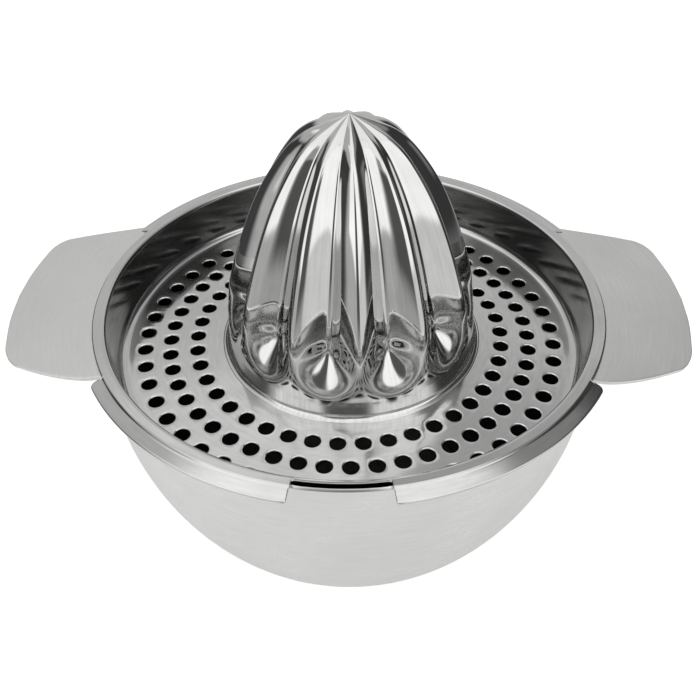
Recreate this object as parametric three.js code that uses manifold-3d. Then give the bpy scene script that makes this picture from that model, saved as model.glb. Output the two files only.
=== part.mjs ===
// Hand citrus juicer pressed from stainless steel sheet: a deep bowl with two flat ears, a perforated strainer
// pan that hangs in the bowl's mouth, and a fluted reamer cone that stands on the pan's plate.
// Millimetres, +Z up. The origin is the centre of the bowl's flat base. The ears lie along X, and the pour slot
// in the pan's flange faces -Y.
import * as THREE from 'three';
import { mergeVertices } from 'three/addons/utils/BufferGeometryUtils.js';
import Module from 'manifold-3d';

const wasm = await Module();
wasm.setup();

// Driving sizes of the bowl
const bowlSheet = 0.8;
const bowlRadius = 66.5;
const bowlHeight = 82.2;
const bowlCollarHeight = 17;
const bowlBaseRadius = 22;
const bowlBellyShare = 1.8;
const bowlSteps = 13;
const bowlSides = 60;

// Driving sizes of the ears
const earTipRadius = 90;
const earRootHalfWidth = 33.2;
const earTipHalfWidth = 27.8;
const earTipSag = 4.2;
const earEdgeBulge = 0.9;
const earCornerRadius = 5.5;
const earEmbedShare = 0.5;
const earSteps = 6;

// Driving sizes of the strainer pan
const panSheet = 0.7;
const panWallClearance = 0.5;
const panDepth = 14.2;
const panWallTaper = 1.1;
const panFloorFillet = 2.3;
const panLipRadius = 1.2;
const seatGap = 0.3;
const flangeFlatWidth = 3.4;
const flangeSkirtWidth = 3.2;
const flangeSkirtDrop = 0.6;
const plateOpeningRadius = 31.6;
const panSides = 72;
const bendSteps = 3;

// Driving sizes of the cut-outs in the pan's flange
const pourSlotHalfWidth = 10.6;
const pourSlotInset = 0.6;
const earNotchSideGap = 0.6;
const cutOverrun = 4;

// Driving sizes of the perforation: one entry for each row of holes. The phase is the place of a row's first
// hole, as a share of the row's pitch, counted from -Y. Towards the back the rows draw in sideways: at the outer
// row's rearmost point by the draw-in share of a hole's X, and before that by the square of the way there.
const holeRadius = 2;
const holeSides = 8;
const innerRow = { radius: 42.6, count: 43, phaseShare: 0.5 };
const middleRow = { radius: 50, count: 50, phaseShare: 0 };
const outerRow = { radius: 56.9, count: 50, phaseShare: 0.5 };
const rowTurnShare = 0.0047;
const rowDrawInShare = 0.14;

// Driving sizes of the reamer cone
const coneSheet = 0.8;
const coneHeight = 64.2;
const coneRadius = 33.7;
const footRadius = 35.8;
const footFillet = 1.6;
const footHeight = 4.6;
const footGap = 0.1;
const fluteCount = 12;
const fluteDepthShare = 0.172;
const fluteSectionPower = 1.2;
const toeLength = 7;
const toeRoundLength = 5;
const firstRidgeTurnShare = 0.0136;
const fluteSteps = 6;
const coneRings = 13;
// The cone's side as shares: each pair is a share of the height above the foot and a share of the radius.
const coneSideShares = [
  [0, 1],
  [0.17, 0.99],
  [0.43, 0.857],
  [0.68, 0.675],
  [0.85, 0.482],
  [0.935, 0.33],
  [0.985, 0.168],
  [1, 0],
];

// Heights and radii that follow from the driving sizes
const rimTop = bowlHeight;
const bowlInnerRadius = bowlRadius - bowlSheet;
const flangeTop = rimTop + seatGap + panSheet;
const plateTop = flangeTop - panDepth;
const wallOuterRadius = bowlInnerRadius - panWallClearance;
const wallInnerRadius = wallOuterRadius - panSheet;
const wallFootRadius = wallInnerRadius - panWallTaper;
const flangeFlatRadius = wallInnerRadius + flangeFlatWidth;
const flangeRadius = flangeFlatRadius + flangeSkirtWidth;
const fullTurn = Math.PI * 2;

// A closed mesh becomes a solid: only positions are kept, shared points are merged, triangles that have shrunk to
// a line on the axis are dropped, and a mesh that came out inside out is turned.
function solidOf(geometry) {
  const bare = geometry.index ? geometry.toNonIndexed() : geometry.clone();
  for (const name of Object.keys(bare.attributes)) {
    if (name !== 'position') bare.deleteAttribute(name);
  }
  const merged = mergeVertices(bare);
  const points = merged.attributes.position;
  const corners = merged.index.array;
  const kept = [];
  const a = new THREE.Vector3();
  const b = new THREE.Vector3();
  const c = new THREE.Vector3();
  let volume = 0;
  for (let i = 0; i < corners.length; i += 3) {
    const [p, q, r] = corners.slice(i, i + 3);
    if (p === q || q === r || r === p) continue;
    kept.push([p, q, r]);
    a.fromBufferAttribute(points, p);
    b.fromBufferAttribute(points, q);
    c.fromBufferAttribute(points, r);
    volume += a.dot(b.cross(c));
  }
  const turned = volume < 0 ? kept.map(([p, q, r]) => [p, r, q]) : kept;
  const mesh = new wasm.Mesh({
    numProp: 3,
    vertProperties: new Float32Array(points.array),
    triVerts: new Uint32Array(turned.flat()),
  });
  return new wasm.Manifold(mesh);
}

function geometryOf(solid) {
  const mesh = solid.getMesh();
  const geometry = new THREE.BufferGeometry();
  geometry.setAttribute('position', new THREE.BufferAttribute(new Float32Array(mesh.vertProperties), 3));
  geometry.setIndex(new THREE.BufferAttribute(new Uint32Array(mesh.triVerts), 1));
  geometry.computeVertexNormals();
  return geometry;
}

// A profile of [radius, height] points turned about Z
function turned(profile, sides) {
  const points = profile.map(([radius, height]) => new THREE.Vector2(radius, height));
  const geometry = new THREE.LatheGeometry(points, sides);
  geometry.rotateX(Math.PI / 2);
  return geometry;
}

// A flat outline carried upwards from one height to another
function raised(shape, bottom, top, curveSegments) {
  const geometry = new THREE.ExtrudeGeometry(shape, {
    depth: top - bottom,
    bevelEnabled: false,
    curveSegments,
  });
  geometry.translate(0, 0, bottom);
  return geometry;
}

// Points of an arc from one angle to another, as [radius, height] pairs
function bend(centreRadius, centreHeight, radius, fromAngle, toAngle) {
  const points = [];
  for (let i = 0; i <= bendSteps; i += 1) {
    const angle = THREE.MathUtils.lerp(fromAngle, toAngle, i / bendSteps);
    points.push([centreRadius + radius * Math.cos(angle), centreHeight + radius * Math.sin(angle)]);
  }
  return points;
}

// Half of the bowl's outline from the base to the rim: a flat base, a belly in the form of a superellipse and a
// straight collar. The inset moves it inwards by the sheet, for the inside of the bowl.
function bowlOutline(inset) {
  const bellyTop = bowlHeight - bowlCollarHeight;
  const bellyWidth = bowlRadius - bowlBaseRadius;
  const points = [[0, inset]];
  for (let i = 0; i <= bowlSteps; i += 1) {
    const angle = (i / bowlSteps) * (Math.PI / 2);
    const outward = Math.sin(angle) ** (2 / bowlBellyShare);
    const downward = Math.cos(angle) ** (2 / bowlBellyShare);
    const radius = bowlBaseRadius + (bellyWidth - inset) * outward;
    points.push([radius, bellyTop - (bellyTop - inset) * downward]);
  }
  points.push([bowlRadius - inset, rimTop]);
  return points;
}

// One ear seen from above, at +X: it starts inside the bowl's wall, narrows outwards and has round corners
function earShape() {
  const rootRadius = bowlRadius - bowlSheet * earEmbedShare;
  const rootAngle = Math.asin(earRootHalfWidth / rootRadius);
  const rootX = rootRadius * Math.cos(rootAngle);
  const cornerX = earTipRadius - earTipSag;
  const midX = (rootX + cornerX) / 2;
  const midY = (earRootHalfWidth + earTipHalfWidth) / 2 + earEdgeBulge;
  const shape = new THREE.Shape();
  shape.moveTo(rootX, -earRootHalfWidth);
  shape.quadraticCurveTo(midX, -midY, cornerX - earCornerRadius, -earTipHalfWidth - earEdgeBulge);
  shape.quadraticCurveTo(cornerX, -earTipHalfWidth, cornerX, earCornerRadius - earTipHalfWidth);
  shape.quadraticCurveTo(earTipRadius + earTipSag, 0, cornerX, earTipHalfWidth - earCornerRadius);
  shape.quadraticCurveTo(cornerX, earTipHalfWidth, cornerX - earCornerRadius, earTipHalfWidth + earEdgeBulge);
  shape.quadraticCurveTo(midX, midY, rootX, earRootHalfWidth);
  shape.absarc(0, 0, rootRadius, rootAngle, -rootAngle, true);
  return shape;
}

function makeBowl() {
  const profile = [...bowlOutline(0), ...bowlOutline(bowlSheet).reverse()];
  let bowl = solidOf(turned(profile, bowlSides));
  const ear = raised(earShape(), rimTop - bowlSheet, rimTop, earSteps);
  bowl = bowl.add(solidOf(ear));
  ear.rotateZ(Math.PI);
  return geometryOf(bowl.add(solidOf(ear)));
}

// The pan's sheet in section: the plate, the floor fillet, the tapered wall, the lip, the flat ring of the flange
// and its skirt. The drop moves the line down and outwards by the sheet, for the underside.
function panOutline(drop) {
  const fillet = panFloorFillet + drop;
  const lip = panLipRadius - drop;
  const filletRadius = wallFootRadius - panFloorFillet;
  return [
    [plateOpeningRadius, plateTop - drop],
    ...bend(filletRadius, plateTop + panFloorFillet, fillet, -Math.PI / 2, 0),
    ...bend(wallInnerRadius + panLipRadius, flangeTop - panLipRadius, lip, Math.PI, Math.PI / 2),
    [flangeFlatRadius, flangeTop - drop],
    [flangeRadius, flangeTop - flangeSkirtDrop - drop],
  ];
}

// A sector between two radii, centred on an angle, for cutting the flange
function sectorShape(innerRadius, outerRadius, middleAngle, halfAngle) {
  const shape = new THREE.Shape();
  shape.absarc(0, 0, outerRadius, middleAngle - halfAngle, middleAngle + halfAngle, false);
  shape.absarc(0, 0, innerRadius, middleAngle + halfAngle, middleAngle - halfAngle, true);
  shape.closePath();
  return shape;
}

function cutSector(innerRadius, middleAngle, halfAngle) {
  const shape = sectorShape(innerRadius, flangeRadius + cutOverrun, middleAngle, halfAngle);
  const bottom = flangeTop - flangeSkirtDrop - panSheet - seatGap;
  return solidOf(raised(shape, bottom, flangeTop + cutOverrun, panSides / 4));
}

// All holes of one row as one cutter, each a short drill through the plate
function cutHoles(row) {
  const drills = [];
  const pitch = fullTurn / row.count;
  for (let i = 0; i < row.count; i += 1) {
    const angle = -fullTurn / 4 + fullTurn * rowTurnShare + pitch * (i + row.phaseShare);
    const drill = new THREE.CylinderGeometry(holeRadius, holeRadius, panSheet + cutOverrun, holeSides);
    drill.rotateX(Math.PI / 2);
    drill.rotateZ(angle);
    const y = row.radius * Math.sin(angle);
    const backShare = Math.max(y, 0) / outerRow.radius;
    const x = row.radius * Math.cos(angle) * (1 - rowDrawInShare * backShare ** 2);
    drill.translate(x, y, plateTop - panSheet / 2);
    drills.push(solidOf(drill));
  }
  return drills.reduce((all, drill) => all.add(drill));
}

function makePan() {
  const profile = [...panOutline(0), ...panOutline(panSheet).reverse()];
  profile.push(profile[0]);
  let pan = solidOf(turned(profile, panSides));
  const pourAngle = Math.asin(pourSlotHalfWidth / wallOuterRadius);
  pan = pan.subtract(cutSector(wallOuterRadius + pourSlotInset, -fullTurn / 4, pourAngle));
  const earAngle = Math.asin((earRootHalfWidth + earNotchSideGap) / flangeFlatRadius);
  pan = pan.subtract(cutSector(flangeFlatRadius, 0, earAngle));
  pan = pan.subtract(cutSector(flangeFlatRadius, Math.PI, earAngle));
  for (const row of [innerRow, middleRow, outerRow]) pan = pan.subtract(cutHoles(row));
  return geometryOf(pan);
}

// The cone's outline from the inside of the tip down to the foot and up again outside to the tip. The inside is
// the outside moved by the sheet, square to the outline.
function coneOutline() {
  const rise = coneHeight - footHeight;
  const knots = coneSideShares.map(([high, wide]) => new THREE.Vector2(coneRadius * wide, footHeight + rise * high));
  const side = new THREE.SplineCurve(knots);
  const outside = [];
  const inside = [];
  for (let i = 0; i < coneRings; i += 1) {
    const point = side.getPoint(i / coneRings);
    const along = side.getTangent(i / coneRings);
    outside.push([point.x, point.y]);
    inside.push([point.x - coneSheet * along.y, point.y + coneSheet * along.x]);
  }
  outside.push([0, coneHeight]);
  inside.push([0, coneHeight - coneSheet]);
  const foot = bend(footRadius, footFillet, footFillet, -Math.PI / 2, -Math.PI);
  const footInside = footRadius - footFillet - coneSheet;
  return [...inside.reverse(), [footInside, 0], ...foot, ...outside];
}

// How far the flute's hollow is cut in at a height and an angle. The section is close to a V with slightly hollow
// sides. Its depth is a share of the radius, and it ends above the foot in a round toe.
function fluteCut(radius, height, angle) {
  const turn = angle / fullTurn - firstRidgeTurnShare + fluteCount;
  const fromRidge = 1 - Math.abs(2 * ((turn * fluteCount) % 1) - 1);
  const hollow = fromRidge ** fluteSectionPower;
  const toeStart = footHeight + toeRoundLength * (1 - Math.sqrt(hollow));
  const toe = THREE.MathUtils.smoothstep(height, toeStart, toeStart + toeLength);
  return radius * fluteDepthShare * hollow * toe;
}

function makeCone() {
  const geometry = turned(coneOutline(), fluteCount * fluteSteps);
  geometry.rotateZ(-fullTurn / 4 + firstRidgeTurnShare * fullTurn);
  const points = geometry.attributes.position;
  for (let i = 0; i < points.count; i += 1) {
    const x = points.getX(i);
    const y = points.getY(i);
    const radius = Math.hypot(x, y);
    const angle = Math.atan2(y, x) + fullTurn / 4;
    const scale = radius > 0 ? 1 - fluteCut(radius, points.getZ(i), angle) / radius : 1;
    points.setXY(i, x * scale, y * scale);
  }
  geometry.translate(0, 0, plateTop + footGap);
  return geometryOf(solidOf(geometry));
}

// Satin steel outside the bowl, and mirror-polished steel on the pan and the cone
const satinSteel = { color: 0xc9c9c7, metalness: 1, roughness: 0.38 };
const polishedSteel = { color: 0xd6d6d5, metalness: 1, roughness: 0.1 };
const mirrorSteel = { color: 0xdededd, metalness: 1, roughness: 0.04 };

function named(name, geometry, finish) {
  const mesh = new THREE.Mesh(geometry, new THREE.MeshStandardMaterial(finish));
  mesh.name = name;
  return mesh;
}

const juicer = new THREE.Group();
juicer.add(named('bowl', makeBowl(), satinSteel));
juicer.add(named('strainer_pan', makePan(), polishedSteel));
juicer.add(named('reamer_cone', makeCone(), mirrorSteel));

export default juicer;
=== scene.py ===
# %% [markdown]
# # A hand citrus juicer of pressed stainless steel
# Three pressings make this tool. A deep bowl with two flat ears stands on the table, a perforated
# strainer pan hangs in its mouth, and a fluted reamer cone stands on the pan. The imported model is
# the frame: it says where each piece sits and what moves. Here each piece gets the surface and
# the finish of the real one.

# %% Load the frame
import math

import bpy
import numpy as np
from mathutils import Matrix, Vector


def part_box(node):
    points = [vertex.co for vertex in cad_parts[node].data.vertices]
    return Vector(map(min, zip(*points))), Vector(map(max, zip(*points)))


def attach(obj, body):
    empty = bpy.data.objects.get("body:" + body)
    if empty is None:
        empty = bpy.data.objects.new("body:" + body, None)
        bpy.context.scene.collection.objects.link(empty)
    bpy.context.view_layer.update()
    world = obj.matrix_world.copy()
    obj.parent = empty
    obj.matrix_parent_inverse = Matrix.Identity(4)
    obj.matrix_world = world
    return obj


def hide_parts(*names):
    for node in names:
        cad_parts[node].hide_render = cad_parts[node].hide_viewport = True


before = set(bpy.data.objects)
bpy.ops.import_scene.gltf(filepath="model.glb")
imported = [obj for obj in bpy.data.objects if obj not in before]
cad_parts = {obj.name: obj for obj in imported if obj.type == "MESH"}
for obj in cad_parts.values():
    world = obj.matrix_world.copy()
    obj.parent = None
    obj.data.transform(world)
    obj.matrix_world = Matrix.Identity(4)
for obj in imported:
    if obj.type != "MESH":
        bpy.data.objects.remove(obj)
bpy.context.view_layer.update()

# %% [markdown]
# ## Sizes
# All sizes are in millimetres, as on a drawing, and MM turns them to metres when a mesh is made.
# The big ones are measured from the frame, so that the surfaces can't drift away from the pieces
# that they stand for. The small ones, such as a sheet's thickness or the radius of a bend, stand
# in the cell that first needs them.

# %% Sizes from the frame
MM = 0.001
TURN = 2 * math.pi


def high_corner_mm(node):
    """The corner of a node's box with the highest coordinates, in millimetres."""
    return np.array(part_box(node)[1]) / MM


ear_reach, _, rim_top = high_corner_mm("bowl")
_, flange_radius, flange_top = high_corner_mm("strainer_pan")
cone_top = high_corner_mm("reamer_cone")[2]
print("rim %.1f, ear reach %.1f, flange radius %.1f, flange top %.1f, cone top %.1f mm"
      % (rim_top, ear_reach, flange_radius, flange_top, cone_top))

# %% [markdown]
# ## Meshes from formulas
# A surface could be modelled by hand, point by point. Here each one is a function of two numbers,
# worked out for a whole grid of points at once, because a size can then be changed and the
# surface follows. Blender needs a list of points and a list of faces, and each face is a row of
# point numbers. The first tools list the faces of a grid, of a fan round a pole, and of a seam
# between two rings with different numbers of points.

# %% Faces


def grid_faces(rows, columns, wrap=True):
    """Quads of a grid whose points run column by column, row after row. The columns close on
    themselves if wrap."""
    row = np.arange(rows - 1)[:, None]
    column = np.arange(columns if wrap else columns - 1)[None, :]
    here = row * columns + column
    right = row * columns + (column + 1) % columns
    return np.stack([here, right, right + columns, here + columns], axis=-1).reshape(-1, 4)


def fan_faces(ring, centre):
    """Triangles from each edge of a closed ring of point numbers to one centre point."""
    return np.stack([ring, np.roll(ring, -1), np.full_like(ring, centre)], axis=-1)


def zip_rings(inner, inner_angles, outer, outer_angles):
    """Triangles between two rings with different numbers of points. Both rings are walked in
    order of angle, and each step to the next point, on either ring, closes one triangle with the
    latest point of the other ring."""
    angles = np.concatenate([inner_angles, outer_angles]) % TURN
    on_outer = np.repeat([0, 1], [len(inner), len(outer)])
    numbers = np.concatenate([inner, outer])
    order = np.argsort(angles, kind="stable")
    on_outer, numbers = on_outer[order], numbers[order]
    inner_walk, outer_walk = numbers[on_outer == 0], numbers[on_outer == 1]
    latest_inner = np.cumsum(on_outer == 0) - 1
    latest_outer = np.cumsum(on_outer == 1) - 1
    apex = np.where(on_outer == 1, inner_walk[latest_inner], outer_walk[latest_outer])
    before = np.where(on_outer == 1, outer_walk[latest_outer - 1], inner_walk[latest_inner])
    after = np.where(on_outer == 1, outer_walk[latest_outer], inner_walk[latest_inner - 1])
    return np.stack([apex, before, after], axis=-1)


print("a closed grid of 3 rows and 4 columns has", len(grid_faces(3, 4)), "faces")

# %% [markdown]
# ## Closed bodies
# A pressing is a sheet of steel with a thickness, so its mesh has two sides and closed edges, as
# a printer or a simulation needs it. Grids that meet are welded: points that lie on each other
# become one. Where the underside needs a shape of its own, the sheet is closed here, and
# otherwise Blender's Solidify does it.

# %% Bodies


def weld(points, face_sets, tolerance=1e-4):
    """Points closer than the tolerance, in all their columns, become one, and faces follow."""
    keys = np.round(points / tolerance).astype(np.int64)
    _, first, back = np.unique(keys, axis=0, return_index=True, return_inverse=True)
    back = back.ravel()
    return points[first], [back[faces] for faces in face_sets]


def close_sheet(top, under, face_sets):
    """A closed body from two matching layers of points: the faces on top, the same faces turned
    over on the underside, and a quad across each edge that only one face uses."""
    count = len(top)
    start = np.concatenate([faces.ravel() for faces in face_sets])
    end = np.concatenate([np.roll(faces, -1, axis=1).ravel() for faces in face_sets])
    free = ~np.isin(start * count + end, end * count + start)
    edge_start, edge_end = start[free], end[free]
    rim = np.stack([edge_end, edge_start, edge_start + count, edge_end + count], axis=-1)
    turned = [faces[:, ::-1] + count for faces in face_sets]
    return np.concatenate([top, under]), face_sets + turned + [rim]


def make_piece(name, points, face_sets):
    """A smooth-shaded mesh object from points in millimetres and arrays of faces."""
    mesh = bpy.data.meshes.new(name)
    faces = [face for faces in face_sets for face in faces.tolist()]
    mesh.from_pydata((points * MM).tolist(), [], faces)
    mesh.validate()
    mesh.polygons.foreach_set("use_smooth", np.ones(len(mesh.polygons), dtype=bool))
    piece = bpy.data.objects.new(name, mesh)
    bpy.context.collection.objects.link(piece)
    print(name, "has", len(points), "points and", len(faces), "faces")
    return piece


twins = np.array([[0.0, 0.0, 0.0], [0.0, 0.0, 0.00001]])
print("two points on each other weld to", len(weld(twins, [])[0]), "point")

# %% [markdown]
# ## Lines
# All three pressings are round, so each starts as a line of radii and heights, its profile, which
# is carried round the Z axis. A profile is put together from arcs and from smooth lines through
# measured points.

# %% Profiles


def round_trip(radii, heights, angles):
    """Points of a profile of radii and heights carried round the Z axis."""
    x = radii[:, None] * np.cos(angles)[None, :]
    y = radii[:, None] * np.sin(angles)[None, :]
    z = np.broadcast_to(heights[:, None], x.shape)
    return np.stack([x, y, z], axis=-1).reshape(-1, 3)


def arc(centre_radius, centre_height, radius, start, end, steps):
    """Radii and heights along an arc in the profile's plane, from one angle to another."""
    angles = np.linspace(start, end, steps)
    return centre_radius + radius * np.cos(angles), centre_height + radius * np.sin(angles)


def smooth_step(value, low, high):
    """0 below low, 1 above high, and a soft S curve between: 3t squared less 2t cubed."""
    t = np.clip((value - low) / (high - low), 0, 1)
    return t * t * (3 - 2 * t)


def smooth_line(knots, count):
    """Points on a smooth line through knots, with evenly spread parameters: a Catmull-Rom curve,
    whose tangent at a knot is half the way between its neighbours."""
    knots = np.array(knots, dtype=float)
    before, after = 2 * knots[0] - knots[1], 2 * knots[-1] - knots[-2]
    padded = np.concatenate([[before], knots, [after]])
    place = np.linspace(0, len(knots) - 1, count)
    number = np.minimum(place.astype(int), len(knots) - 2)
    t = (place - number)[:, None]
    p0, p1, p2, p3 = (padded[number + i] for i in range(4))
    return 0.5 * (2 * p1 + (p2 - p0) * t + (2 * p0 - 5 * p1 + 4 * p2 - p3) * t ** 2
                  + (3 * p1 - p0 - 3 * p2 + p3) * t ** 3)


print("halfway up a smooth step the value is", float(smooth_step(0.5, 0, 1)))

# %% [markdown]
# ## The bowl
# The real bowl is one disc of steel, drawn deep and then polished with a fine belt. A Blender
# circle pulled up ring by ring would do, but its outline would be guesswork. Its belly is close
# to a superellipse, which is rounder than a cone and fuller than a circle, and it ends in a
# straight collar, so two radii and one power give the whole outline. One surface for the outside
# is enough: Solidify gives it the sheet's thickness inwards.

# %% Bowl wall
bowl_sheet = 0.8
bowl_radius = 66.5
bowl_collar = 17.0
bowl_base_radius = 22.0
bowl_belly_share = 1.8
bowl_centre_radius = 2.0
base_rows = 5
belly_rows = 56
collar_rows = 8
ear_columns = 60
side_columns = 130
ear_root_half = 33.2
ear_bend = 0.8
ear_angle = math.asin(ear_root_half / bowl_radius)
bend_height = rim_top - bowl_sheet - ear_bend


def bowl_angles():
    """Angles of the bowl's columns: the ear at +X, the back, the other ear, the front. A column
    stands at each end of each ear."""
    ends = [-ear_angle, ear_angle, math.pi - ear_angle, math.pi + ear_angle, TURN - ear_angle]
    counts = [ear_columns, side_columns, ear_columns, side_columns]
    spans = zip(ends[:-1], ends[1:], counts)
    return np.concatenate([np.linspace(a, b, n, endpoint=False) for a, b, n in spans])


def bowl_profile():
    """Radii and heights from the base to the bend height. With an angle a from 0 to 90 degrees,
    the belly's radius grows with sin a and its height with 1 - cos a, both raised to the power
    2 / share, as on a superellipse."""
    a = np.linspace(0, math.pi / 2, belly_rows)
    belly_top = rim_top - bowl_collar
    power = 2 / bowl_belly_share
    radii = bowl_base_radius + (bowl_radius - bowl_base_radius) * np.sin(a) ** power
    heights = belly_top - belly_top * np.cos(a) ** power
    base = np.linspace(bowl_centre_radius, bowl_base_radius, base_rows + 1)[:-1]
    collar = np.linspace(belly_top, bend_height, collar_rows)[1:]
    radii = np.concatenate([base, radii, np.full(len(collar), bowl_radius)])
    heights = np.concatenate([np.zeros(len(base)), heights, collar])
    return radii, heights


print("the bowl's wall has %d rows and %d columns" % (len(bowl_profile()[0]), len(bowl_angles())))

# %% [markdown]
# ## The rim and the ears
# The ears are the bowl's own sheet, bent outwards at the rim, so they share their points with the
# wall. Between them the rim stands plain, and at the front it leans out and dips a little, as a
# pouring lip. An ear could be a separate flat plate, but then a seam would show where the real
# sheet only bends. Each ear is a blend of two lines instead: the root's arc on the wall and the
# tip's outline.

# %% Rim
rim_rows = 5
pour_half_angle = math.radians(11.0)
pour_fade = (0.7, 1.25)
pour_flare = 0.55
pour_dip = 0.75


def rim_strip(angles):
    """The plain rim above the bend height. At the front a smooth step round the lip's middle
    leans it outwards, by the square of the share of the way up, and dips it."""
    share = np.linspace(0, 1, rim_rows)[:, None]
    from_front = np.abs((angles + math.pi / 2 + math.pi) % TURN - math.pi)
    fade_start, fade_end = (pour_half_angle * part for part in pour_fade)
    lip = 1 - smooth_step(from_front, fade_start, fade_end)
    radii = bowl_radius + pour_flare * lip * share ** 2
    heights = bend_height + share * (rim_top - bend_height - pour_dip * lip)
    strip = np.stack([radii * np.cos(angles), radii * np.sin(angles), heights], axis=-1)
    return strip.reshape(-1, 3)


print("the pouring lip is %.0f degrees wide" % math.degrees(2 * pour_half_angle))

# %% Ears
ear_rows = 40
bend_rows = 6
ear_tip_back = [(0.25, 0), (0.9, 10), (2.6, 19.4), (3.6, 23.0), (5.0, 25.6)]
ear_side = [(31.7, 33.6), (27.5, 33.4), (24, 32.8), (20, 31.9), (16, 30.8),
            (12, 29.5), (9.4, 28.5), (7, 27.5), (5.0, 25.6)]
ear_forward = 1.9
ear_forward_power = 4
ear_tilt = 0.05
ear_shift = -0.3


def ear_lines():
    """The ear's outline seen from above: the tip line from corner to corner, and the side line
    from the root to the corner. Both are smooth lines through measured points, each given as the
    distance back from the ear's reach and the distance from the middle."""
    half_tip = smooth_line(ear_tip_back, ear_columns // 2 + 1)
    tip = np.concatenate([half_tip[:0:-1] * [1, -1], half_tip])
    side = smooth_line(ear_side, ear_rows + 1)
    return ear_reach - tip[:, 0], tip[:, 1], ear_reach - side[:, 0], side[:, 1]


def ear_surface(side):
    """The underside of one ear: up from the wall, round the bend, and out to the tip. A point is
    the blend of the root's arc and the tip line that its share out gives. Towards the two sides
    the side line's bulge over a straight line is added, by the cube of the share across. The
    ears sit a little forward, which comes in fast near the root, and turn in at the front."""
    angles = np.linspace(-ear_angle, ear_angle, ear_columns + 1)
    bend = np.linspace(0, math.pi / 2, bend_rows)[:, None]
    bend_radii = bowl_radius + ear_bend * (1 - np.cos(bend)) + 0 * angles
    bend_heights = bend_height + ear_bend * np.sin(bend) + 0 * angles
    bent = np.stack([bend_radii * np.cos(angles), bend_radii * np.sin(angles), bend_heights],
                    axis=-1)
    across = np.sin(angles) / math.sin(ear_angle)
    tip_x, tip_y, side_x, side_y = ear_lines()
    out = ((side_x - side_x[0]) / (side_x[-1] - side_x[0]))[1:, None]
    bulge = side_y[1:, None] - side_y[0] - (side_y[-1] - side_y[0]) * out
    root = bent[-1]
    x = root[:, 0] + (tip_x - root[:, 0]) * out
    y = root[:, 1] + (tip_y - root[:, 1]) * out + across ** 3 * bulge
    y = y - side * ear_forward * (1 - (1 - out) ** ear_forward_power)
    x = x + side * ear_tilt * y * out + side * ear_shift * out
    flat = np.stack([x, y, np.full_like(x, bend_height + ear_bend)], axis=-1)
    points = np.concatenate([bent, flat]).reshape(-1, 3)
    return points * [side, side, 1]


print("one ear has", len(ear_surface(1)), "points")

# %% Make the bowl


def make_bowl():
    """The bowl with its ears as one mesh: wall, plain rims and ears share the points at the bend
    height, and a fan closes the pole under the middle."""
    angles = bowl_angles()
    radii, heights = bowl_profile()
    wall = round_trip(radii, heights, angles)
    layers = [wall, np.array([[0.0, 0.0, 0.0]])]
    pole = fan_faces(np.arange(len(angles)), len(wall))[:, ::-1]
    faces = [grid_faces(len(radii), len(angles)), pole]
    back = np.linspace(ear_angle, math.pi - ear_angle, side_columns + 1)
    strips = [(rim_strip(back), len(back)), (rim_strip(back + math.pi), len(back))]
    strips += [(ear_surface(side), ear_columns + 1) for side in (1, -1)]
    start = len(wall) + 1
    for strip, columns in strips:
        layers.append(strip)
        faces.append(grid_faces(len(strip) // columns, columns, wrap=False) + start)
        start += len(strip)
    points, face_sets = weld(np.concatenate(layers), faces)
    return make_piece("bowl_with_ears", points, face_sets)


bowl = make_bowl()

# %% [markdown]
# ## The bowl's thickness and edges
# Two modifiers finish the bowl. Solidify adds the inside, one sheet's thickness inwards. Bevel
# takes the sharpness off the cut edges, as deburring does on the real sheet, because only a
# rounded edge catches a line of light. They stay live, so that the numbers can still be changed.

# %% Thickness and edges
bowl_edge_width = 0.22
sharp_angle = math.radians(50)
sheet = bowl.modifiers.new("sheet", "SOLIDIFY")
sheet.thickness = bowl_sheet * MM
sheet.offset = -1
edge = bowl.modifiers.new("rounded edges", "BEVEL")
edge.width = bowl_edge_width * MM
edge.segments = 3
edge.limit_method = "ANGLE"
edge.angle_limit = sharp_angle
print("the bowl's modifiers:", [modifier.name for modifier in bowl.modifiers])

# %% [markdown]
# ## The strainer pan's plate
# The pan is a second pressing. Its flat plate is punched with three rows of round holes, and
# punching pulls the edge of each hole down a little, so a hole has a soft, bright lip. Holes
# could be cut with a Boolean modifier, but that leaves long thin faces that shade badly on
# polished steel. Here the plate is laid out cell by cell: each hole sits in a small four-sided
# cell, whose points run from the cell's outline to the hole.

# %% Rows of holes
pan_sheet = 0.7
pan_depth = 14.2
plate_top = flange_top - pan_depth
hole_radius = 2.0
hole_roll = 0.34
rows_of_holes = [
    {"radius": 42.6, "count": 43, "phase": 0.5, "band": (38.9, 46.2)},
    {"radius": 50.0, "count": 50, "phase": 0.0, "band": (46.6, 53.4)},
    {"radius": 56.9, "count": 50, "phase": 0.5, "band": (53.4, 60.4)},
]
row_turn = math.radians(1.7)
row_draw_in = 0.14
draw_in_limits = [33.5, 38.9, 58.9, 60.4]
print("the plate has", sum(row["count"] for row in rows_of_holes), "holes")


def drawn_in(plan):
    """Towards the back the rows draw in sideways: a point's x shrinks by the draw-in share times
    the square of its y over the outer row's radius. The shift fades out on the plain rings inside
    and outside the rows."""
    x, y = plan[..., 0], plan[..., 1]
    radius = np.hypot(x, y)
    inside, first, last, outside = draw_in_limits
    fade_in = np.clip((radius - inside) / (first - inside), 0, 1)
    fade = fade_in * np.clip((outside - radius) / (outside - last), 0, 1)
    back = np.maximum(y, 0) / rows_of_holes[-1]["radius"]
    return np.stack([x * (1 - row_draw_in * back ** 2 * fade), y], axis=-1)


# %% Cells of the holes
arc_steps = 8
side_steps = 6
roll_rows = 5


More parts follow.
